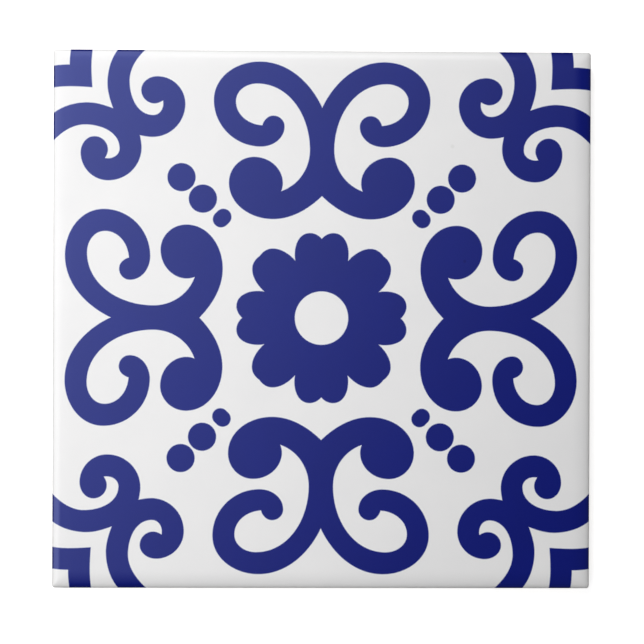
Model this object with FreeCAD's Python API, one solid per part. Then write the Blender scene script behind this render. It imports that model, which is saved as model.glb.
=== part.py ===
import FreeCAD, Part
import math
import os

from FreeCAD import Vector

# Azulejo tile: one pressed and fired ceramic piece, in millimetres.
# It lies on its back at z = 0, centred on the Z axis, with the glazed face up.

# Driving dimensions of the outside
SIDE = 108.0              # square side, measured over the upright bands
THICKNESS = 6.0           # from the bed plane of the ribs to the glazed face
CORNER_RADIUS = 0.6       # upright corners, seen from above
CUSHION_WIDTH = 3.6       # how far the rounded face edge reaches in from the side
CUSHION_DROP = 0.9        # how far that edge falls below the flat of the face
BAND_HEIGHT = 2.4         # upright band that faces the grout joint
SIDE_DRAFT = 4.0          # degrees the side leans in below the band, for the die
BACK_EDGE_RADIUS = 0.4    # rounding between the leaning side and the back

# Driving dimensions of the keyed back
KEY_COUNT = 6             # pockets along one side
KEY_DEPTH = 0.7           # height of the ribs above the pocket floors
KEY_DRAFT = 30.0          # degrees the pocket walls lean
KEY_CORNER_RADIUS = 1.5   # pocket corners, at the mouth
RIB_WIDTH = 2.4           # width of a rib where it touches the bed
BED_MARGIN = 3.0          # from the side of the tile in to the outermost rib

# Sizes that follow
half_side = SIDE / 2
half_flat = half_side - CUSHION_WIDTH
band_top = THICKNESS - CUSHION_DROP
band_bottom = band_top - BAND_HEIGHT
side_lean = (band_bottom - KEY_DEPTH) * math.tan(math.radians(SIDE_DRAFT))
half_bed = half_side - BED_MARGIN
key_lean = KEY_DEPTH * math.tan(math.radians(KEY_DRAFT))
key_pitch = (2 * half_bed - RIB_WIDTH) / KEY_COUNT
half_key = (key_pitch - RIB_WIDTH) / 2

UP = Vector(0, 0, 1)
CENTRE = Vector(0, 0, 0)


def quarter_turns(shapes):
    """The given shapes four times, turned round the tile a quarter turn each time."""
    turned = []
    for quarter in range(4):
        for shape in shapes:
            copy = shape.copy()
            copy.rotate(CENTRE, UP, 90 * quarter)
            turned.append(copy)
    return turned


def corner_arc(half, radius, z):
    """Round corner of a level square outline, from its +X side to its +Y side."""
    straight = half - radius
    bulge = straight + radius * math.sqrt(0.5)
    return Part.Arc(Vector(half, straight, z), Vector(bulge, bulge, z), Vector(straight, half, z)).toShape()


def rounded_square(half, radius, z):
    """Closed outline of a square with round corners, lying level at height z."""
    straight = half - radius
    side = Part.makeLine(Vector(half, -straight, z), Vector(half, straight, z))
    return Part.Wire(quarter_turns([side, corner_arc(half, radius, z)]))


def make_leaning_foot():
    """Lower part of the side, leaning in towards a rounded back edge."""
    back = rounded_square(half_side - side_lean, CORNER_RADIUS, KEY_DEPTH)
    front = rounded_square(half_side, CORNER_RADIUS, band_bottom)
    foot = Part.makeLoft([back, front], True, True)
    back_edges = [edge for edge in foot.Edges if edge.BoundBox.ZMax < (KEY_DEPTH + band_bottom) / 2]
    return foot.makeFillet(BACK_EDGE_RADIUS, back_edges)


def make_upright_band():
    """Straight part of the side, the widest of the tile."""
    return Part.Face(rounded_square(half_side, CORNER_RADIUS, band_bottom)).extrude(UP * BAND_HEIGHT)


def mitre_edge(y_side):
    """Quarter of an ellipse that climbs the mitre of a corner, where the +X side meets the corner's rounding."""
    centre = Vector(half_flat, y_side * (half_flat - CORNER_RADIUS), band_top)
    outward = centre + Vector(CUSHION_WIDTH, y_side * CUSHION_WIDTH, 0)
    upward = centre + UP * CUSHION_DROP
    return Part.Ellipse(outward, upward, centre).toShape(0, math.pi / 2)


def as_spline(edge):
    """The curve of an edge, between the edge's ends, with control points."""
    return edge.Curve.toBSpline(*edge.ParameterRange)


def carried_face(section, path):
    """Face that one edge sweeps when it is carried along another without turning: the sum of the two curves."""
    across = as_spline(section)
    along = as_spline(path)
    start = along.getPole(1)
    poles = [[a + b - start for b in along.getPoles()] for a in across.getPoles()]
    weights = [[a * b for b in along.getWeights()] for a in across.getWeights()]
    surface = Part.BSplineSurface()
    surface.buildFromPolesMultsKnots(
        poles, across.getMultiplicities(), along.getMultiplicities(), across.getKnots(), along.getKnots(),
        False, False, across.Degree, along.Degree, weights)
    return surface.toShape()


def make_cushion():
    """Flat of the face with its edge rolled over on all sides, and the mitres rounded like the upright corners."""
    side = Part.makeRuledSurface(mitre_edge(-1), mitre_edge(1))
    corner = carried_face(corner_arc(half_side, CORNER_RADIUS, band_top), mitre_edge(1))
    flat = Part.Face(rounded_square(half_flat, CORNER_RADIUS, THICKNESS))
    seat = Part.Face(rounded_square(half_side, CORNER_RADIUS, band_top))
    shell = Part.makeShell([flat, seat] + quarter_turns([side, corner]))
    shell.sewShape()
    return Part.makeSolid(shell)


def make_rib_plinth():
    """Low square block under the back that the pockets are pressed into."""
    bed = rounded_square(half_bed, KEY_CORNER_RADIUS, 0)
    root = rounded_square(half_bed + key_lean, KEY_CORNER_RADIUS + key_lean, KEY_DEPTH)
    return Part.makeLoft([bed, root], True, True)


def make_pockets():
    """All pockets of the keyed back, each narrowing from its mouth to its floor."""
    mouth = rounded_square(half_key, KEY_CORNER_RADIUS, 0)
    floor = rounded_square(half_key - key_lean, KEY_CORNER_RADIUS - key_lean, KEY_DEPTH)
    pocket = Part.makeLoft([mouth, floor], True, True)
    first = -key_pitch * (KEY_COUNT - 1) / 2
    pockets = []
    for column in range(KEY_COUNT):
        for row in range(KEY_COUNT):
            placed = pocket.copy()
            placed.translate(Vector(first + column * key_pitch, first + row * key_pitch, 0))
            pockets.append(placed)
    return pockets


body = make_leaning_foot().fuse([make_upright_band(), make_cushion(), make_rib_plinth()])
tile = body.cut(make_pockets()).removeSplitter().Solids[0]

os.makedirs("parts", exist_ok=True)
tile.exportStep("parts/azulejo_tile.step")
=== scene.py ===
import math

import bpy
from mathutils import Euler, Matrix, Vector, noise
from mathutils.geometry import delaunay_2d_cdt


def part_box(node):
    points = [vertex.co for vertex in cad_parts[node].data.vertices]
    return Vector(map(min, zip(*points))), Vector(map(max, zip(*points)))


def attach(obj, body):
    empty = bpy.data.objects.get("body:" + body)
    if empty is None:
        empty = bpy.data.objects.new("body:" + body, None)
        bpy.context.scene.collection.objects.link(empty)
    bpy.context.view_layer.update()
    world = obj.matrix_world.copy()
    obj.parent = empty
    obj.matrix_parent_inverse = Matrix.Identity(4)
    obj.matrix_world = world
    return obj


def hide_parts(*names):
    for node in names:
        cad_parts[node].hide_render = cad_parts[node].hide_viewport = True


# Azulejo tile: the glazed face with its cobalt scrolls, the bare sides and the keyed back.
# Sizes are in millimetres and angles in degrees; MM turns millimetres into the frame's metres.
MM = 0.001

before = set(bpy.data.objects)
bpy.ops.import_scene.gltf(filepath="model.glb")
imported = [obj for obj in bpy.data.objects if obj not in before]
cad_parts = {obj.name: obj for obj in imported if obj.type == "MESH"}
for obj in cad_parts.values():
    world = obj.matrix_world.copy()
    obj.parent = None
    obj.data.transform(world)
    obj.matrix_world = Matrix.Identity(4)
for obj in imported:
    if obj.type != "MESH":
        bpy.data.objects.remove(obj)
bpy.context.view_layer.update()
low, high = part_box("azulejo_tile")
half_side = (high.x - low.x) / 2 / MM
thickness = (high.z - low.z) / MM

# Shape of the body, as in the part's source
CORNER_RADIUS = 0.6         # upright corners, seen from above
CUSHION_WIDTH = 3.6         # how far the rolled-over face edge reaches in from the side
CUSHION_DROP = 0.9          # how far that edge falls below the flat of the face
BAND_HEIGHT = 2.4           # upright band below it
SIDE_DRAFT = 4.0            # how far the side leans in below the band
BACK_EDGE_RADIUS = 0.4
KEY_COUNT = 6               # pockets along one side of the back
KEY_DEPTH = 0.7
KEY_DRAFT = 30.0            # how far the pocket walls lean
KEY_CORNER_RADIUS = 1.5
RIB_WIDTH = 2.4
BED_MARGIN = 3.0            # from the side of the tile in to the outermost rib

half_flat = half_side - CUSHION_WIDTH
band_top = thickness - CUSHION_DROP
band_bottom = band_top - BAND_HEIGHT
half_bed = half_side - BED_MARGIN
key_lean = KEY_DEPTH * math.tan(math.radians(KEY_DRAFT))
key_pitch = (2 * half_bed - RIB_WIDTH) / KEY_COUNT
half_key = (key_pitch - RIB_WIDTH) / 2

# What painting and firing add to the body
GLAZE_WAVE = 0.012          # depth of the slow waves in the glaze
GLAZE_WAVE_LENGTH = 22.0
GLAZE_COAT = 0.12           # thickness of the glaze at its end, so the bare side lies this much deeper
GLAZE_END = 3.35            # height on the side where the glaze stops
GLAZE_WANDER = 0.35         # how far that line strays up and down
GLAZE_WANDER_LENGTH = 6.0
GLAZE_WANDER_SHIFT = (0, 0, 9)   # so that it strays otherwise than the end of the paint
PAINT_END = 4.55            # height on the side where a stroke that runs over the edge stops
PAINT_WANDER = 0.2
PAINT_WANDER_LENGTH = 2.7
WASH_WIDTH = 0.1            # how far the cobalt bleeds into the white round each stroke
GRIT = 0.025                # unevenness of the bare body
FINE_GRIT_LENGTH = 0.9
COARSE_GRIT_LENGTH = 3.1
COARSE_GRIT_SHARE = 0.6     # height of the coarse grit beside the fine
EDGE_WEAR = 0.18            # rounding of the ribs' edges

# Rows of the mesh that draw these forms
GLAZE_LIP = ((0, 3.0), (0, 1.2), (0.15, 0.5), (0.5, 0.13), (1, 0))   # inset and rise, in coats of glaze
WORN_EDGE = ((-0.5, 0), (-0.1, 0.15), (0.3, 0.5))   # shift and rise of a rib's edge, in its wear
WALL_SHARES = (0.92, 1.0, 1.2)    # places on a rib's wall, in its lean; past 1 they lie beside it
FOOT_HEIGHTS = (2.4, 2.0, 1.6)    # on the leaning side

# Fineness of the mesh
GRID_STEP = 1.5             # between points on the level parts and along their edges
OUTLINE_STEP = 0.4          # between points along an outline of the print
CUSHION_ROWS = 16
ARC_STEPS = 6               # pieces in each rounded corner
BACK_EDGE_STEPS = 4         # rows in the rounding of the back edge
MERGE_DISTANCE = 1e-4       # points nearer than this become one
INSIDE_ONLY = 1             # how the triangulation is told to leave out what lies outside all outlines

# How the print lies on the tile
PRINT_SHIFT = (-0.13, 0.28)
PRINT_REACH = half_side + 1.0   # strokes that leave the tile are drawn to here and cut off at the edge

# Outlines of the ornament, for smooth curves: x, y and the heading there.
# A place with two headings is a corner: the curve arrives along the first and leaves along the second.
SIDE_SCROLL = (
    (0.0, 42.12, 65),             # fork between the two horns
    (12.48, 51.33, 0),
    (21.67, 43.62, 270),
    (12.29, 34.36, 180),          # under the curl
    (7.57, 38.39, 90),
    (9.79, 40.51, 0),             # round the curl's end
    (11.97, 38.55, 285, 3),
    (17.33, 43.39, 90),           # back along the inner side of the horn
    (13.01, 46.98, 180),
    (2.41, 33.66, 270),           # down the stem
    (8.19, 25.38, 341, 111),
    (13.61, 32.23, 0),            # round the leaf
    (18.61, 27.11, 270),
    (9.81, 19.85, 180),
    (0.0, 24.49, 136),            # notch at the foot
)
CORNER_SCROLL_OUTSIDE = (
    (36.5, 36.5, 190),            # notch on the diagonal, nearest the middle of the tile
    (34.0, 36.17, 180),
    (27.45, 42.78, 90),
    (32.97, 48.26, 0),
    (36.2, 45.52, 270),           # round the curl's end
    (33.55, 42.88, 180),
    (31.85, 43.47, 150, 258),
    (33.8, 40.49, 0),
    (38.6, 47.4, 90),
    (34.3, PRINT_REACH, 134),
)
CORNER_SCROLL_INSIDE = (
    (39.95, PRINT_REACH, 311),
    (42.96, 46.88, 270),
    (41.8, 41.8, 250),            # notch on the diagonal, nearest the corner
)
CORNER_ANGLE_OUTSIDE = (
    (46.03, 46.03, 86),
    (46.22, 50.3, 90),
    (45.95, PRINT_REACH, 95),
)
CORNER_ANGLE_INSIDE = (
    (50.25, PRINT_REACH, 275),
    (50.5, 50.5, 270),
)
ROSETTE_EIGHTH = (
    (0.0, 15.86, 49.5),           # dip in the middle of a petal
    (2.35, 17.02, 0),
    (5.25, 11.43, 260, 47),       # cleft between two petals
    (9.83, 13.89, 0),
    (12.4, 12.4, 304),            # dip of the petal on the diagonal
)
ROSETTE_EYE_RADIUS = 5.385
DOT_RADIUS = 2.795
OUTER_DOT = 28.12                 # distance of a dot from both middle lines of the tile
INNER_DOT = 23.84
DROP_PLACE = 19.97                # smallest dot, drawn a little longer across the diagonal
DROP_RADIUS = 1.605
DROP_HALF_LENGTH = 0.33
DROP_HEADING = 135

# Finishes, numbered like the materials of the mesh
WHITE, COBALT, WASH, BISCUIT = range(4)


# Outlines

def handle_share(leaving, arriving):
    """Length of a curve's handle as a share of the distance it spans, from its angles to that line.

    This is the usual formula for smooth curves through places with given headings.
    """
    bend = math.sqrt(2) * (math.sin(leaving) - math.sin(arriving) / 16)
    bend *= (math.sin(arriving) - math.sin(leaving) / 16) * (math.cos(leaving) - math.cos(arriving))
    spread = 1 + (math.sqrt(5) - 1) / 2 * math.cos(leaving) + (3 - math.sqrt(5)) / 2 * math.cos(arriving)
    return (2 + bend) / (3 * spread)


def wrapped(angle):
    """The same angle, between minus and plus half a turn."""
    return (angle + math.pi) % (2 * math.pi) - math.pi


def heading_vector(heading):
    return Vector((math.cos(heading), math.sin(heading)))


def smooth_piece(start, end):
    """Points of the smooth curve from one place of an outline to the next, without its end."""
    first = Vector(start[:2])
    last = Vector(end[:2])
    leaving = math.radians(start[-1])
    arriving = math.radians(end[2])
    span = last - first
    straight = math.atan2(span.y, span.x)
    turn_out = wrapped(leaving - straight)
    turn_in = wrapped(straight - arriving)
    near = first + heading_vector(leaving) * handle_share(turn_out, turn_in) * span.length
    far = last - heading_vector(arriving) * handle_share(turn_in, turn_out) * span.length
    count = math.ceil(span.length / OUTLINE_STEP)
    points = []
    for step in range(count):
        t = step / count
        s = 1 - t
        points.append(first * s**3 + near * 3 * s * s * t + far * 3 * s * t * t + last * t**3)
    return points


def smooth_curve(places):
    points = []
    for start, end in zip(places, places[1:]):
        points += smooth_piece(start, end)
    return points + [Vector(places[-1][:2])]


def turned(points, quarter):
    """Points turned round the middle of the tile by quarter turns to the left."""
    x, y = [(1, 0), (0, 1), (-1, 0), (0, -1)][quarter]
    return [Vector((p.x * x - p.y * y, p.x * y + p.y * x)) for p in points]


def mirrored_left(points):
    return [Vector((-p.x, p.y)) for p in reversed(points)]


def mirrored_in_diagonal(points):
    return [Vector((p.y, p.x)) for p in reversed(points)]


def circle(centre, radius):
    count = 4 * math.ceil(math.pi * radius / 2 / OUTLINE_STEP)
    return [Vector(centre) + heading_vector(2 * math.pi * i / count) * radius for i in range(count)]


def drop(centre):
    """Round dot drawn out a little along its heading."""
    stretch = heading_vector(math.radians(DROP_HEADING)) * DROP_HALF_LENGTH
    points = []
    for point in circle((0, 0), DROP_RADIUS):
        side = 1 if point.dot(stretch) > 0 else -1
        points.append(Vector(centre) + point + stretch * side)
    return points


def whole(half, mirror):
    """Closed outline that turns left, from a half that turns right and its mirror image."""
    return (half + mirror(half)[1:-1])[::-1]


def side_scroll():
    return whole(smooth_curve(SIDE_SCROLL), mirrored_left)


def corner_scroll():
    half = smooth_curve(CORNER_SCROLL_OUTSIDE) + smooth_curve(CORNER_SCROLL_INSIDE)
    return whole(half, mirrored_in_diagonal)


def corner_angle():
    half = smooth_curve(CORNER_ANGLE_OUTSIDE) + smooth_curve(CORNER_ANGLE_INSIDE)
    return whole(half, mirrored_in_diagonal)


def rosette():
    eighth = smooth_curve(ROSETTE_EIGHTH)
    quarter = eighth[:-1] + mirrored_in_diagonal(eighth)[:-1]
    points = []
    for turn in range(4):
        points += turned(quarter, -turn)
    return points[::-1]


def widened(points):
    """A closed outline that turns left, moved outward by the width of the pale border round a stroke."""
    moved = []
    for i, point in enumerate(points):
        along = (points[(i + 1) % len(points)] - points[i - 1]).normalized()
        moved.append(point + Vector((along.y, -along.x)) * WASH_WIDTH)
    return moved


def shifted(points):
    return [p + Vector(PRINT_SHIFT) for p in points]


def ornament():
    """Closed outlines of the whole print, each with its finish, the later ones on top."""
    motifs = [
        side_scroll(),
        corner_scroll(),
        corner_angle(),
        circle((OUTER_DOT, OUTER_DOT), DOT_RADIUS),
        circle((INNER_DOT, INNER_DOT), DOT_RADIUS),
        drop((DROP_PLACE, DROP_PLACE)),
    ]
    strokes = [shifted(rosette())]
    for quarter in range(4):
        for motif in motifs:
            strokes.append(shifted(turned(motif, quarter)))
    outlines = []
    for stroke in strokes:
        outlines.append((widened(stroke), WASH))
        outlines.append((stroke, COBALT))
    outlines.append((shifted(circle((0, 0), ROSETTE_EYE_RADIUS)), WASH))
    outlines.append((shifted(circle((0, 0), ROSETTE_EYE_RADIUS - WASH_WIDTH)), WHITE))
    return outlines


def rounded_square(half, radius, centre=(0, 0)):
    """Closed outline of a square with round corners, with points about a grid step apart on its sides."""
    straight = half - radius
    count = round(2 * straight / GRID_STEP)
    side = []
    for i in range(count):
        side.append(Vector((half, straight * (2 * i / count - 1))))
    for i in range(ARC_STEPS):
        angle = math.pi / 2 * i / ARC_STEPS
        side.append(Vector((straight, straight)) + heading_vector(angle) * radius)
    points = []
    for quarter in range(4):
        points += turned(side, quarter)
    return [p + Vector(centre) for p in points]


def grid(half):
    """Points of a square grid that reaches to half on all sides."""
    count = round(2 * half / GRID_STEP)
    ticks = [half * (2 * i / count - 1) for i in range(count + 1)]
    return [Vector((x, y)) for x in ticks for y in ticks]


# Mesh of the tile

class Skin:
    """Points and faces of the tile as they are made, in millimetres."""

    def __init__(self):
        self.points = []
        self.faces = []
        self.finishes = []

    def add_points(self, points):
        return numbered(self.points, points)

    def add_face(self, corners, finish):
        self.faces.append(corners)
        self.finishes.append(finish)

    def add_row(self, upper, points, finishes):
        """One more closed row of points under the last, joined to it all round; gives the row's numbers."""
        lower = self.add_points(points)
        for i, finish in enumerate(finishes):
            j = (i + 1) % len(upper)
            self.add_face((upper[j], upper[i], lower[i], lower[j]), finish)
        return lower


def numbered(points, added):
    """Adds points to the end of a list; gives their numbers in that list."""
    first = len(points)
    points += added
    return list(range(first, len(points)))


def closed_pairs(row):
    """Each member of a closed row with the one after it."""
    return list(zip(row, row[1:] + row[:1]))


def triangulated(points, loops, rows):
    """Triangles between points, kept to closed outlines and closed rows.

    Gives the places, the triangles, the points that each place comes from,
    and the outlines that each triangle lies in.
    """
    edges = []
    for row in rows:
        edges += closed_pairs(row)
    result = delaunay_2d_cdt(points, edges, loops, INSIDE_ONLY, MERGE_DISTANCE)
    places, _, triangles, sources, _, inside = result
    return places, triangles, sources, inside


def level_half(point):
    """Half the side of that round-cornered square round the tile's middle that runs through a point."""
    a = abs(point.x)
    b = abs(point.y)
    if abs(a - b) >= CORNER_RADIUS:
        return max(a, b)
    return (a + b - math.sqrt(2 * CORNER_RADIUS**2 - (a - b) ** 2)) / 2 + CORNER_RADIUS


def waves(place, length):
    """Smooth unevenness between 0 and 1, with hills about a length apart."""
    return 0.5 + 0.5 * noise.noise(Vector(place) / length)


def face_height(point):
    """Height of the glazed face: level, with slow waves, and rolled over at the edge."""
    reach = min(1, max(0, (level_half(point) - half_flat) / CUSHION_WIDTH))
    roll = math.sqrt(1 - reach**2)
    wave = GLAZE_WAVE * waves((point.x, point.y, 0), GLAZE_WAVE_LENGTH)
    return band_top + (CUSHION_DROP - wave) * roll


def edge_row(finish_beside):
    """Open edge of a meshed face as a closed row of numbers, and the finish along it."""
    open_edges = {}
    for (a, b), finish in finish_beside.items():
        if (b, a) not in finish_beside:
            open_edges[a] = (b, finish)
    row = [min(open_edges)]
    finishes = []
    while len(finishes) < len(open_edges):
        following, finish = open_edges[row[-1]]
        row.append(following)
        finishes.append(finish)
    return row[:-1], finishes


def make_face(skin):
    """Glazed face with the print; gives its edge as a row of numbers, and the finish along it."""
    points = grid(half_flat - GRID_STEP / 2)
    rows = []
    for step in range(1, CUSHION_ROWS + 1):
        angle = math.pi / 2 * step / CUSHION_ROWS
        half = half_flat + CUSHION_WIDTH * math.cos(angle)
        rows.append(numbered(points, rounded_square(half, CORNER_RADIUS)))
    outlines = [(rounded_square(half_side, CORNER_RADIUS), WHITE)] + ornament()
    loops = [numbered(points, outline) for outline, _ in outlines]
    places, triangles, _, inside = triangulated(points, loops, rows)
    numbers = {}
    finish_beside = {}
    for corners, loops_here in zip(triangles, inside):
        if 0 not in loops_here:
            continue              # a stroke's end beyond the edge of the tile
        for corner in corners:
            if corner not in numbers:
                place = places[corner]
                numbers[corner] = skin.add_points([Vector((*place, face_height(place)))])[0]
        finish = outlines[max(loops_here)][1]
        face = [numbers[corner] for corner in corners]
        skin.add_face(face, finish)
        for pair in closed_pairs(face):
            finish_beside[pair] = finish
    return edge_row(finish_beside)


def drawn_in(point, inset, z):
    """A point of the tile's outline moved in towards the middle, and to a height."""
    share = 1 - inset / half_side
    return Vector((point.x * share, point.y * share, z))


def grit(point):
    """Unevenness of the bare body at a point, up and down."""
    fine = noise.noise(point / FINE_GRIT_LENGTH)
    coarse = noise.noise(point / COARSE_GRIT_LENGTH)
    return GRIT * (fine + COARSE_GRIT_SHARE * coarse)


def make_glazed_side(skin, edge, outline, finishes):
    """Upper side, down to the ends of the paint and of the glaze; gives the last row."""
    points = []
    for p in outline:
        paint_end = PAINT_END + PAINT_WANDER * noise.noise(p / PAINT_WANDER_LENGTH)
        points.append(drawn_in(p, 0, paint_end))
    row = skin.add_row(edge, points, finishes)
    for inset, rise in GLAZE_LIP:
        points = []
        for p in outline:
            sample = p / GLAZE_WANDER_LENGTH + Vector(GLAZE_WANDER_SHIFT)
            glaze_end = GLAZE_END + GLAZE_WANDER * noise.noise(sample)
            points.append(drawn_in(p, inset * GLAZE_COAT, glaze_end + rise * GLAZE_COAT))
        row = skin.add_row(row, points, [WHITE] * len(row))
    return row


def foot_rows():
    """Inset and height of each row of the foot, from the band down and round the back edge."""
    lean = math.tan(math.radians(SIDE_DRAFT))
    foot_end = KEY_DEPTH + BACK_EDGE_RADIUS
    rows = [(lean * (band_bottom - z), z) for z in (band_bottom, *FOOT_HEIGHTS, foot_end)]
    end_inset = rows[-1][0]
    for step in range(1, BACK_EDGE_STEPS + 1):
        angle = math.pi / 2 * step / BACK_EDGE_STEPS
        inset = end_inset + BACK_EDGE_RADIUS * (1 - math.cos(angle))
        rows.append((inset, foot_end - BACK_EDGE_RADIUS * math.sin(angle)))
    return rows


def make_foot(skin, row, outline):
    """Bare lower side, leaning in and rounded towards the back; gives the last row, on the back."""
    for inset, z in foot_rows():
        points = []
        for p in outline:
            bare_inset = inset + GLAZE_COAT + abs(grit(Vector((p.x, p.y, z))))
            points.append(drawn_in(p, bare_inset, z))
        row = skin.add_row(row, points, [BISCUIT] * len(row))
    return row


def rib_wall(half, outward):
    """Rows of a rib's wall, from its worn edge up to the pocket floor: half, corner radius and height."""
    rows = []
    for share, rise in WORN_EDGE:
        shift = share * EDGE_WEAR * outward
        rows.append((half + shift, KEY_CORNER_RADIUS + shift, rise * EDGE_WEAR))
    for share in WALL_SHARES:
        shift = share * key_lean * outward
        rows.append((half + shift, KEY_CORNER_RADIUS + shift, min(1, share) * KEY_DEPTH))
    return rows


def make_back(skin, edge):
    """Keyed back inside the last row of the side: margin, ribs and pockets."""
    points = [skin.points[number].xy for number in edge]
    heights = [skin.points[number].z for number in edge]
    outside = list(range(len(edge)))
    rows = []

    def lay_wall(wall_half, outward, centre):
        for half, radius, z in rib_wall(wall_half, outward):
            rows.append(numbered(points, rounded_square(half, radius, centre)))
            heights.extend([z] * len(rows[-1]))

    lay_wall(half_bed, 1, (0, 0))
    first = -key_pitch * (KEY_COUNT - 1) / 2
    centres = [first + key_pitch * i for i in range(KEY_COUNT)]
    floor = grid(half_key - 2 * key_lean - EDGE_WEAR)
    for x in centres:
        for y in centres:
            lay_wall(half_key, -1, (x, y))
            points += [p + Vector((x, y)) for p in floor]
            heights += [KEY_DEPTH] * len(floor)
    places, triangles, sources, _ = triangulated(points, [outside], rows)
    numbers = []
    for place, source in zip(places, sources):
        if source[0] < len(edge):
            numbers.append(edge[source[0]])
            continue
        z = heights[source[0]]
        uneven = abs(grit(Vector((place.x, place.y, z))))
        numbers += skin.add_points([Vector((place.x, place.y, z + uneven))])
    for a, b, c in triangles:
        skin.add_face((numbers[a], numbers[c], numbers[b]), BISCUIT)


# Materials

NOISE_MIDDLE = (0.3, 0.7)       # where most of a noise's values lie
SPOT_EDGE = (0.74, 0.79)        # between these values of a noise a scattered spot begins
SPECK_CORE = 0.4                # share of a speck's radius that is fully dark


def ramp(tree, value, start, end, first, last):
    """Runs from a first to a last value while the given value runs from start to end."""
    node = tree.nodes.new("ShaderNodeMapRange")
    node.inputs["From Min"].default_value = start
    node.inputs["From Max"].default_value = end
    node.inputs["To Min"].default_value = first
    node.inputs["To Max"].default_value = last
    tree.links.new(value, node.inputs["Value"])
    return node.outputs["Result"]


class Shading:
    """Nodes of one material, made one after the other."""

    def __init__(self, name):
        self.material = bpy.data.materials.new(name)
        self.material.use_nodes = True
        self.tree = self.material.node_tree
        self.surface = self.tree.nodes["Principled BSDF"]
        self.places = self.tree.nodes.new("ShaderNodeTexCoord").outputs["Object"]

    def link(self, source, target):
        self.tree.links.new(source, target)

    def noise(self, size, detail):
        """Cloudy pattern with features about the given size in millimetres, as a value around one half."""
        node = self.tree.nodes.new("ShaderNodeTexNoise")
        node.inputs["Scale"].default_value = 1 / (size * MM)
        node.inputs["Detail"].default_value = detail
        self.link(self.places, node.inputs["Vector"])
        return node.outputs["Fac"]

    def ranged(self, value, first, last):
        """A noise's middle range, stretched to run from a first to a last value."""
        return ramp(self.tree, value, *NOISE_MIDDLE, first, last)

    def spots(self, size, outside, inside):
        """Scattered spots of about the given size: one value around them and another inside."""
        return ramp(self.tree, self.noise(size, 0), *SPOT_EDGE, outside, inside)

    def mixed(self, share, first, second):
        """Colour between two colours, each one a value or another node's colour."""
        node = self.tree.nodes.new("ShaderNodeMix")
        node.data_type = "RGBA"
        self.link(share, node.inputs["Factor"])
        for socket, colour in ((node.inputs["A"], first), (node.inputs["B"], second)):
            if isinstance(colour, tuple):
                socket.default_value = (*colour, 1)
            else:
                self.link(colour, socket)
        return node.outputs["Result"]

    def bump(self, height, depth, normal=None):
        """Fine relief of the given depth in millimetres."""
        node = self.tree.nodes.new("ShaderNodeBump")
        node.inputs["Strength"].default_value = 1
        node.inputs["Distance"].default_value = depth * MM
        self.link(height, node.inputs["Height"])
        if normal:
            self.link(normal, node.inputs["Normal"])
        return node.outputs["Normal"]

    def speck(self, colour, place, radius, dark):
        """The given colour with one small dark spot on the face."""
        offset = self.tree.nodes.new("ShaderNodeVectorMath")
        offset.operation = "DISTANCE"
        offset.inputs[1].default_value = (place[0] * MM, place[1] * MM, thickness * MM)
        self.link(self.places, offset.inputs[0])
        core = radius * SPECK_CORE
        share = ramp(self.tree, offset.outputs["Value"], core * MM, radius * MM, 1, 0)
        return self.mixed(share, colour, dark)

    def below(self, colour, low_colour, full, start):
        """The given colour turning into another one, from a starting height down to where that is full."""
        split = self.tree.nodes.new("ShaderNodeSeparateXYZ")
        self.link(self.places, split.inputs["Vector"])
        share = ramp(self.tree, split.outputs["Z"], full * MM, start * MM, 1, 0)
        return self.mixed(share, colour, low_colour)

    def finish(self, colour, roughness, normal):
        self.link(colour, self.surface.inputs["Base Color"])
        self.link(roughness, self.surface.inputs["Roughness"])
        self.link(normal, self.surface.inputs["Normal"])
        return self.material


# Two tones of each colour that the glaze varies between, and the darker colour that it turns to towards the
# edge
GLAZE_WHITE = ((0.860, 0.855, 0.856), (0.837, 0.834, 0.839))
GLAZE_COBALT = ((0.0016, 0.0064, 0.177), (0.0019, 0.0062, 0.165))
GLAZE_WASH = ((0.498, 0.528, 0.697), (0.484, 0.516, 0.683))
# darker colours that each glaze turns to over the roll of the edge and on the side
EDGE_DARK_WHITE = (0.746, 0.744, 0.738)
EDGE_DARK_COBALT = (0.0015, 0.0035, 0.105)
EDGE_DARK_WASH = (0.42, 0.45, 0.59)
EDGE_DARK_FULL = band_top + 0.2                # height up to which it has that darker colour
EDGE_DARK_START = band_top + 0.6               # and where it has its full colour again
GLAZE_IOR = 1.5
CLEAR_SHEEN = (0.63, (1, 1, 1))           # strength and tint of the gloss over white
COBALT_SHEEN = (1, (0.518, 0.596, 1))     # and over cobalt, where it is bluer
WHITE_SPECKS = (((26.04, 34.84), 0.5, (0.775, 0.775, 0.77)),)    # place on the face, radius and colour
COBALT_SPECKS = (((28.58, 11.78), 0.42, (0.0005, 0.0016, 0.125)),)
GLAZE_CLOUDS = (9, 3)                     # size and detail of the pattern in its tone
GLAZE_BREATH = (6, 2)                     # and of the one in its gloss
GLAZE_ROUGHNESS = (0.05, 0.08)
GLAZE_RIPPLE = (2.4, 1)                   # and of its fine ripple
GLAZE_RIPPLE_DEPTH = 0.004

BISCUIT_PALE = (0.70, 0.56, 0.43)
BISCUIT_DARK = (0.58, 0.43, 0.31)
BISCUIT_CLOUDS = (7, 4)                   # size and detail of the mottling
BISCUIT_GRAIN = (0.35, 2)                 # and of the grain
GRAIN_SHARE = 0.35                        # how far the grain darkens the clay
GRAIN_DEPTH = 0.05
BISCUIT_HOLLOWS = (1.6, 3)
HOLLOW_DEPTH = 0.12
PIT_SIZE = 0.65
PIT_DEPTH = 0.05
GROG_COLOUR = (0.80, 0.71, 0.60)          # crushed fired clay in the body
GROG_SIZE = 0.9
GROG_SHARE = 0.45                         # how far it covers the clay's colour
IRON_COLOUR = (0.27, 0.15, 0.09)          # burnt-out specks of iron
IRON_SIZE = 0.55
IRON_SHARE = 0.5
BISCUIT_DULLNESS = (3, 2)                 # size and detail of the pattern in the clay's roughness
BISCUIT_ROUGHNESS = (0.82, 0.95)


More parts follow.
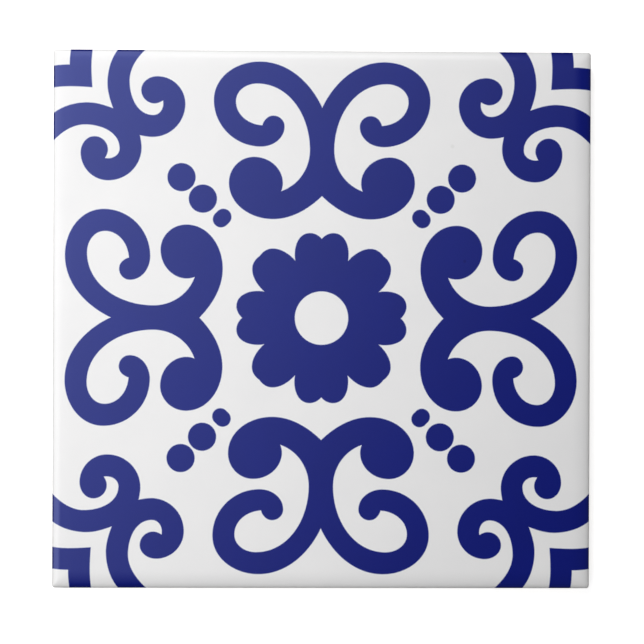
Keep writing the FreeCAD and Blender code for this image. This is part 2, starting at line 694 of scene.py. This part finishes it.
def make_glaze(name, colours, edge_dark_colour, sheen, specks):
    """Clear hard glaze on a coloured ground, a little uneven in tone and gloss, and darker towards the
    edge.
    """
    shading = Shading(name)
    colour = shading.mixed(shading.ranged(shading.noise(*GLAZE_CLOUDS), 0, 1), *colours)
    # darker colour over the roll of the edge and on the side, below a given height
    colour = shading.below(colour, edge_dark_colour, EDGE_DARK_FULL, EDGE_DARK_START)
    for place, radius, dark in specks:
        colour = shading.speck(colour, place, radius, dark)
    roughness = shading.ranged(shading.noise(*GLAZE_BREATH), *GLAZE_ROUGHNESS)
    relief = shading.bump(shading.noise(*GLAZE_RIPPLE), GLAZE_RIPPLE_DEPTH)
    strength, tint = sheen
    shading.surface.inputs["IOR"].default_value = GLAZE_IOR
    shading.surface.inputs["Specular IOR Level"].default_value = strength
    shading.surface.inputs["Specular Tint"].default_value = (*tint, 1)
    return shading.finish(colour, roughness, relief)


def make_biscuit():
    """Bare fired clay: matt, mottled, grainy and pitted."""
    shading = Shading("bare_biscuit")
    clouds = shading.ranged(shading.noise(*BISCUIT_CLOUDS), 0, 1)
    grain = shading.noise(*BISCUIT_GRAIN)
    colour = shading.mixed(clouds, BISCUIT_PALE, BISCUIT_DARK)
    colour = shading.mixed(shading.ranged(grain, 0, GRAIN_SHARE), colour, BISCUIT_DARK)
    colour = shading.mixed(shading.spots(GROG_SIZE, 0, GROG_SHARE), colour, GROG_COLOUR)
    colour = shading.mixed(shading.spots(IRON_SIZE, 0, IRON_SHARE), colour, IRON_COLOUR)
    roughness = shading.ranged(shading.noise(*BISCUIT_DULLNESS), *BISCUIT_ROUGHNESS)
    relief = shading.bump(shading.noise(*BISCUIT_HOLLOWS), HOLLOW_DEPTH)
    relief = shading.bump(grain, GRAIN_DEPTH, relief)
    relief = shading.bump(shading.spots(PIT_SIZE, 1, 0), PIT_DEPTH, relief)
    return shading.finish(colour, roughness, relief)


# The tile in the scene

def placed(name, data):
    """New object in the scene for a mesh, a lamp or a camera."""
    holder = bpy.data.objects.new(name, data)
    bpy.context.scene.collection.objects.link(holder)
    return holder


def make_tile():
    """The fired tile as one closed mesh, in place of the plain solid."""
    skin = Skin()
    edge, finishes = make_face(skin)
    outline = [skin.points[number] for number in edge]
    glaze_end = make_glazed_side(skin, edge, outline, finishes)
    back_edge = make_foot(skin, glaze_end, outline)
    make_back(skin, back_edge)
    mesh = bpy.data.meshes.new("azulejo_tile_fired")
    mesh.from_pydata([p * MM for p in skin.points], [], skin.faces)
    materials = {
        WHITE: make_glaze("white_glaze", GLAZE_WHITE, EDGE_DARK_WHITE, CLEAR_SHEEN, WHITE_SPECKS),
        COBALT: make_glaze("cobalt_glaze", GLAZE_COBALT, EDGE_DARK_COBALT, COBALT_SHEEN, COBALT_SPECKS),
        WASH: make_glaze("washed_glaze", GLAZE_WASH, EDGE_DARK_WASH, CLEAR_SHEEN, ()),
        BISCUIT: make_biscuit(),
    }
    for finish in sorted(materials):
        mesh.materials.append(materials[finish])
    mesh.polygons.foreach_set("material_index", skin.finishes)
    mesh.polygons.foreach_set("use_smooth", [True] * len(skin.faces))
    mesh.update()
    tile = placed("azulejo_tile_fired", mesh)
    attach(tile, "root")
    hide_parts("azulejo_tile")


# Floor

FLOOR_HALF = 4000.0
FLOOR_DROP = 0.05             # keeps the floor just clear of the ribs
FLOOR_COLOUR = (0.8, 0.8, 0.8, 1)
FLOOR_GLOW = (0.80, 1)        # what it adds for the camera near the tile and far off, to read as white
FLOOR_GLOW_RUN = (120, 500)   # from and to how far from the tile's middle that rises


def make_paper():
    """Matt white paper that glows a little for the camera alone, more so away from the tile."""
    shading = Shading("white_paper")
    shading.surface.inputs["Base Color"].default_value = FLOOR_COLOUR
    shading.surface.inputs["Roughness"].default_value = 1
    shading.surface.inputs["Specular IOR Level"].default_value = 0
    shading.surface.inputs["Emission Color"].default_value = (1, 1, 1, 1)
    distance = shading.tree.nodes.new("ShaderNodeVectorMath")
    distance.operation = "LENGTH"
    shading.link(shading.places, distance.inputs[0])
    near, far = FLOOR_GLOW_RUN
    glow = ramp(shading.tree, distance.outputs["Value"], near * MM, far * MM, *FLOOR_GLOW)
    ray = shading.tree.nodes.new("ShaderNodeLightPath")
    seen = shading.tree.nodes.new("ShaderNodeMath")
    seen.operation = "MULTIPLY"
    shading.link(glow, seen.inputs[0])
    shading.link(ray.outputs["Is Camera Ray"], seen.inputs[1])
    shading.link(seen.outputs["Value"], shading.surface.inputs["Emission Strength"])
    return shading.material


def make_floor():
    """Wide sheet of that paper under the tile."""
    corners = []
    for x, y in ((-1, -1), (1, -1), (1, 1), (-1, 1)):
        corners.append((x * FLOOR_HALF * MM, y * FLOOR_HALF * MM, -FLOOR_DROP * MM))
    mesh = bpy.data.meshes.new("floor")
    mesh.from_pydata(corners, [], [(0, 1, 2, 3)])
    mesh.materials.append(make_paper())
    floor = placed("floor", mesh)


# Light

ROOM_LIGHT = 0.1              # even light from all round
KEY_PLACE = (-217, 351, 472)
KEY_SIZE = (260, 260)
KEY_LEVEL = 14.85
FILL_PLACE = (-60, -30, 170)
FILL_SIZE = (150, 150)
FILL_LEVEL = 1.545

# Large cards hang level over the tile and show only in its gloss.
# The broad one is brightest to the left of and above a place over the tile, and fades from there.
BROAD_CARD_HEIGHT = 600.0
BROAD_CARD_END = (-1600, 1150)      # its left and upper ends
BROAD_CARD_BRIGHT = (-153, 164)
BROAD_CARD_FADE = (518, 884)        # how far to the right of that place, and below it, the card is dark
BROAD_CARD_CURVE = 2                # power that the fading follows
BROAD_CARD_LEVEL = 1.92
# The side card lies further left, with a soft edge towards the tile, and is brightest at its lower end.
SIDE_CARD_HEIGHT = 620.0
SIDE_CARD_EDGE = (-358, 0)          # middle of that edge, which runs up and a little to the right
SIDE_CARD_HEADING = 164.5           # square to the edge, away from the tile
SIDE_CARD_SIZE = (900, 1400)        # away from the edge, and along it
SIDE_CARD_FADE = 105.0              # width of the soft edge
SIDE_CARD_DIM = (-135, 135, 0.09)   # from and to where it dims upwards along the edge, and to what share
SIDE_CARD_LEVEL = 1.36
# The upper card shows in the roll of the upper edge. It has a soft lower edge and fades to the right.
UPPER_CARD_HEIGHT = 640.0
UPPER_CARD_SPAN = (-1100, 60, 150)  # its left end, where it starts to fade, and its right end
UPPER_CARD_REACH = (415, 1150)      # its lower and upper ends
UPPER_CARD_LEVEL = 0.33
# The line card shows as a light line in the white of that roll. It is dimmer at its left end.
LINE_CARD_HEIGHT = 660.0
LINE_CARD_SPAN = (-110, -46, 139)   # its left end, from where it is at full brightness, and its right end
LINE_CARD_REACH = (384, 660)        # its lower and upper ends
LINE_CARD_START = 0.4               # brightness at the left end, as a share
LINE_CARD_LEVEL = 0.95
LOWER_EDGE_FADE = 36.0              # width of the soft lower edge of both


def make_world():
    """Even room light, seen as white by the camera."""
    world = bpy.data.worlds.new("studio")
    bpy.context.scene.world = world
    world.use_nodes = True
    tree = world.node_tree
    background = tree.nodes["Background"]
    background.inputs["Color"].default_value = (1, 1, 1, 1)
    ray = tree.nodes.new("ShaderNodeLightPath")
    level = ramp(tree, ray.outputs["Is Camera Ray"], 0, 1, ROOM_LIGHT, 1)
    tree.links.new(level, background.inputs["Strength"])


def make_lamp(name, size, level):
    """Rectangular soft light that faces down and is evenly bright."""
    lamp = bpy.data.lights.new(name, "AREA")
    lamp.shape = "RECTANGLE"
    lamp.size = size[0] * MM
    lamp.size_y = size[1] * MM
    lamp.energy = level * math.pi * lamp.size * lamp.size_y
    return placed(name, lamp)


def make_key():
    """Soft key light at the upper left, for the colours of the glaze and the clay."""
    key = make_lamp("key", KEY_SIZE, KEY_LEVEL)
    key.location = Vector(KEY_PLACE) * MM
    key.rotation_euler = (-key.location).to_track_quat("-Z", "Y").to_euler()
    key.visible_glossy = False


def make_fill():
    """Small soft light over the middle of the face, for an even white."""
    fill = make_lamp("fill", FILL_SIZE, FILL_LEVEL)
    fill.location = Vector(FILL_PLACE) * MM
    fill.visible_camera = False
    fill.visible_glossy = False


def hang_card(name, middle, height, heading, size, level):
    """Level card over the tile, with one side along a heading, that shows only in the gloss."""
    card = make_lamp(name, size, level)
    card.location = Vector((*middle, height)) * MM
    card.rotation_euler = (0, 0, math.radians(heading))
    card.visible_diffuse = False
    return card


def shade_card(card, shades, operation, power):
    """Varies a card's brightness: what runs along its two sides, added or multiplied, to a power.

    A shade is two places along the side, from the card's middle, and the values there.
    """
    card.data.use_nodes = True
    tree = card.data.node_tree
    place = tree.nodes.new("ShaderNodeNewGeometry")
    split = tree.nodes.new("ShaderNodeSeparateXYZ")
    both = tree.nodes.new("ShaderNodeMath")
    both.operation = operation
    both.use_clamp = True
    curve = tree.nodes.new("ShaderNodeMath")
    curve.operation = "POWER"
    curve.inputs[1].default_value = power
    tree.links.new(place.outputs["Parametric"], split.inputs["Vector"])
    # Along each side the card's own places run from 0 to 1, with its middle at one half.
    for axis, length in enumerate((card.data.size, card.data.size_y)):
        start, end, first, last = shades[axis]
        start_share = 0.5 + start * MM / length
        end_share = 0.5 + end * MM / length
        run = ramp(tree, split.outputs[axis], start_share, end_share, first, last)
        tree.links.new(run, both.inputs[axis])
    tree.links.new(both.outputs["Value"], curve.inputs[0])
    tree.links.new(curve.outputs["Value"], tree.nodes["Emission"].inputs["Strength"])


def spanned(left, right, bottom, top):
    """Middle and size of a card between its four ends."""
    return Vector((left + right, bottom + top)) / 2, (right - left, top - bottom)


def soft_lower_edge(size):
    """Shade of a card that is dark at its lower end and soon bright."""
    return (-size[1] / 2, LOWER_EDGE_FADE - size[1] / 2, 0, 1)


def make_broad_card():
    """Card whose reflection brightens the face from the lower right to the upper left."""
    left, top = BROAD_CARD_END
    bright_x, bright_y = BROAD_CARD_BRIGHT
    right = bright_x + BROAD_CARD_FADE[0]
    bottom = bright_y - BROAD_CARD_FADE[1]
    middle, size = spanned(left, right, bottom, top)
    card = hang_card("broad_card", middle, BROAD_CARD_HEIGHT, 0, size, BROAD_CARD_LEVEL)
    across = (bright_x - middle.x, size[0] / 2, 1, 0)
    along = (-size[1] / 2, bright_y - middle.y, -1, 0)
    shade_card(card, (across, along), "ADD", BROAD_CARD_CURVE)


def make_side_card():
    """Card that draws the bright line along the left edge."""
    away = heading_vector(math.radians(SIDE_CARD_HEADING))
    half_depth = SIDE_CARD_SIZE[0] / 2
    middle = Vector(SIDE_CARD_EDGE) + away * (half_depth - SIDE_CARD_FADE / 2)
    card = hang_card(
        "side_card", middle, SIDE_CARD_HEIGHT, SIDE_CARD_HEADING, SIDE_CARD_SIZE, SIDE_CARD_LEVEL)
    across = (-half_depth, SIDE_CARD_FADE - half_depth, 0, 1)
    low_end, high_end, dimmed = SIDE_CARD_DIM
    along = (-high_end, -low_end, dimmed, 1)
    shade_card(card, (across, along), "MULTIPLY", 1)


def make_upper_card():
    """Card that lightens the roll of the upper edge."""
    left, fading, right = UPPER_CARD_SPAN
    middle, size = spanned(left, right, *UPPER_CARD_REACH)
    card = hang_card("upper_card", middle, UPPER_CARD_HEIGHT, 0, size, UPPER_CARD_LEVEL)
    across = (fading - middle.x, size[0] / 2, 1, 0)
    shade_card(card, (across, soft_lower_edge(size)), "MULTIPLY", 1)


def make_line_card():
    """Card that draws the light line along the white of the upper edge."""
    left, full, right = LINE_CARD_SPAN
    middle, size = spanned(left, right, *LINE_CARD_REACH)
    card = hang_card("line_card", middle, LINE_CARD_HEIGHT, 0, size, LINE_CARD_LEVEL)
    across = (-size[0] / 2, full - middle.x, LINE_CARD_START, 1)
    shade_card(card, (across, soft_lower_edge(size)), "MULTIPLY", 1)


# Camera

LENS = 85.0                   # with the usual 36 mm wide sensor
CAMERA_PLACE = (-4.706, -0.011, 310.82)
CAMERA_TURN = (-0.094, -0.879, 0.213)
CAMERA_NEAR = 10.0            # nothing nearer than this is drawn


def make_camera():
    camera = bpy.data.cameras.new("camera")
    camera.lens = LENS
    camera.clip_start = CAMERA_NEAR * MM
    eye = placed("camera", camera)
    eye.location = Vector(CAMERA_PLACE) * MM
    eye.rotation_euler = Euler([math.radians(angle) for angle in CAMERA_TURN])
    bpy.context.scene.camera = eye


make_tile()
make_floor()
make_world()
make_key()
make_fill()
make_broad_card()
make_side_card()
make_upper_card()
make_line_card()
make_camera()
bpy.context.scene.view_settings.view_transform = "Standard"
